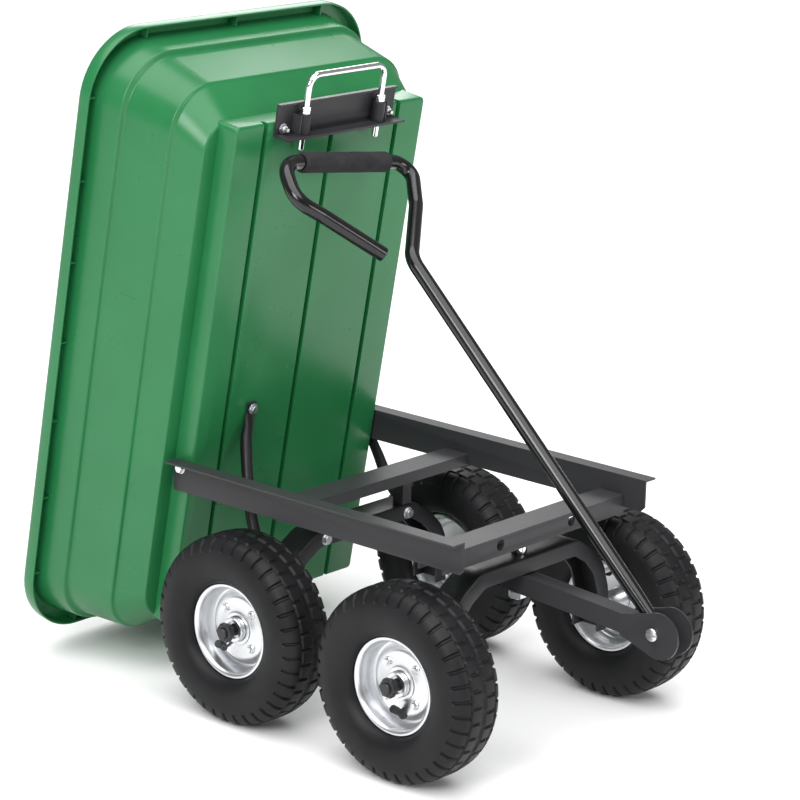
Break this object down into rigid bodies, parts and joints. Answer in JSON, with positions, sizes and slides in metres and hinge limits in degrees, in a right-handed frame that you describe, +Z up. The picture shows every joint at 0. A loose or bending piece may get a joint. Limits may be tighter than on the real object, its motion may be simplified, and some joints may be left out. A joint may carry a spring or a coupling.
{
  "type": "garden dump cart",
  "caption": "Garden dump cart on pneumatic wheels with a tipping moulded tub, latch bail, steered front axle and looped pull handle, shown dumped.",
  "frame": {"origin": "middle of the bounding box at ground level, under the cart", "axes": "+Z up, -Y forward to the tongue and handle pivot, +Y to the rear where the tub dumps, -X the side with the stop strut, +X the side with the rear brace"},
  "size_m": [0.536, 0.9592, 0.9029],
  "materials": {
    "tub_plastic": "semi-gloss moulded green",
    "tyre": "matte rubber",
    "rim_zinc": "bright zinc plate",
    "hub_black": "satin black",
    "valve_rubber": "matte",
    "grip_foam": "fine matte foam",
    "handle_black": "gloss black",
    "axle_black": "satin black",
    "bail_chrome": "polished",
    "latch_black": "satin black powder coat",
    "fastener_zinc": "zinc plated",
    "frame_black": "satin black powder coat"
  },
  "bodies": {
    "frame": {"rail_left": "frame_black", "rail_right": "frame_black", "front_crossmember": "frame_black", "mid_crossmember": "frame_black", "rear_axle_beam": "frame_black", "rear_axle_post_left": "frame_black", "rear_axle_post_right": "frame_black", "rear_axle_bolt_left": "fastener_zinc", "rear_axle_bolt_right": "fastener_zinc", "rear_brace_right": "frame_black", "pivot_bolt_left": "fastener_zinc", "pivot_bolt_right": "fastener_zinc", "pivot_nut_left": "fastener_zinc", "pivot_nut_right": "fastener_zinc", "kingpin": "fastener_zinc", "kingpin_collar": "fastener_zinc", "kingpin_nut": "fastener_zinc", "spindle_rear_left": "axle_black", "spindle_rear_right": "axle_black", "axle_nut_rear_left": "axle_black", "axle_nut_rear_right": "axle_black"},
    "tub": {"tub": "tub_plastic", "latch_bracket": "latch_black", "latch_sleeve_left": "latch_black", "latch_sleeve_right": "latch_black", "bracket_bolt_left": "fastener_zinc", "bracket_bolt_right": "fastener_zinc", "stop_strut": "frame_black", "stop_strut_bolt": "fastener_zinc"},
    "latch": {"latch_bail": "bail_chrome", "latch_collar_left": "bail_chrome", "latch_collar_right": "bail_chrome"},
    "front_axle": {"front_axle_beam": "frame_black", "tongue": "frame_black", "clevis": "frame_black", "clevis_bolt": "fastener_zinc", "clevis_nut": "fastener_zinc", "spindle_front_left": "axle_black", "spindle_front_right": "axle_black", "axle_nut_front_left": "axle_black", "axle_nut_front_right": "axle_black"},
    "handle": {"handle_tube": "handle_black", "handle_grip": "grip_foam"},
    "wheel_front_left": {"tyre_front_left": "tyre", "rim_front_left": "rim_zinc", "hub_front_left": "hub_black", "valve_stem_front_left": "valve_rubber"},
    "wheel_front_right": {"tyre_front_right": "tyre", "rim_front_right": "rim_zinc", "hub_front_right": "hub_black", "valve_stem_front_right": "valve_rubber"},
    "wheel_rear_left": {"tyre_rear_left": "tyre", "rim_rear_left": "rim_zinc", "hub_rear_left": "hub_black", "valve_stem_rear_left": "valve_rubber"},
    "wheel_rear_right": {"tyre_rear_right": "tyre", "rim_rear_right": "rim_zinc", "hub_rear_right": "hub_black", "valve_stem_rear_right": "valve_rubber"}
  },
  "joints": [
    {"name": "tub_dump", "type": "hinge", "parent": "frame", "child": "tub", "pos_m": [0, 0.2298, 0.312], "axis": [1, 0, 0], "range_deg": [0, 78]},
    {"name": "latch_slide", "type": "slide", "parent": "tub", "child": "latch", "axis": [0, -0.1633, 0.9866], "range_m": [0, 0.02], "stiffness_N_per_m": 300, "springref_m": -0.01},
    {"name": "steering", "type": "hinge", "parent": "frame", "child": "front_axle", "pos_m": [0, -0.2068, 0.25], "axis": [0, 0, 1], "range_deg": [-6.4, 6.4]},
    {"name": "handle_pivot", "type": "hinge", "parent": "front_axle", "child": "handle", "pos_m": [0, -0.4406, 0.2015], "axis": [1, 0, 0], "range_deg": [0, 145]},
    {"name": "spin_front_left", "type": "hinge", "parent": "front_axle", "child": "wheel_front_left", "pos_m": [-0.2203, -0.2068, 0.13], "axis": [1, 0, 0], "continuous": true},
    {"name": "spin_front_right", "type": "hinge", "parent": "front_axle", "child": "wheel_front_right", "pos_m": [0.2203, -0.2068, 0.13], "axis": [1, 0, 0], "continuous": true},
    {"name": "spin_rear_left", "type": "hinge", "parent": "frame", "child": "wheel_rear_left", "pos_m": [-0.2203, 0.0812, 0.13], "axis": [1, 0, 0], "continuous": true},
    {"name": "spin_rear_right", "type": "hinge", "parent": "frame", "child": "wheel_rear_right", "pos_m": [0.2203, 0.0812, 0.13], "axis": [1, 0, 0], "continuous": true}
  ],
  "couplings": [
    {"joint": "handle_pivot", "follows": "tub_dump", "ratio": 1.6}
  ]
}
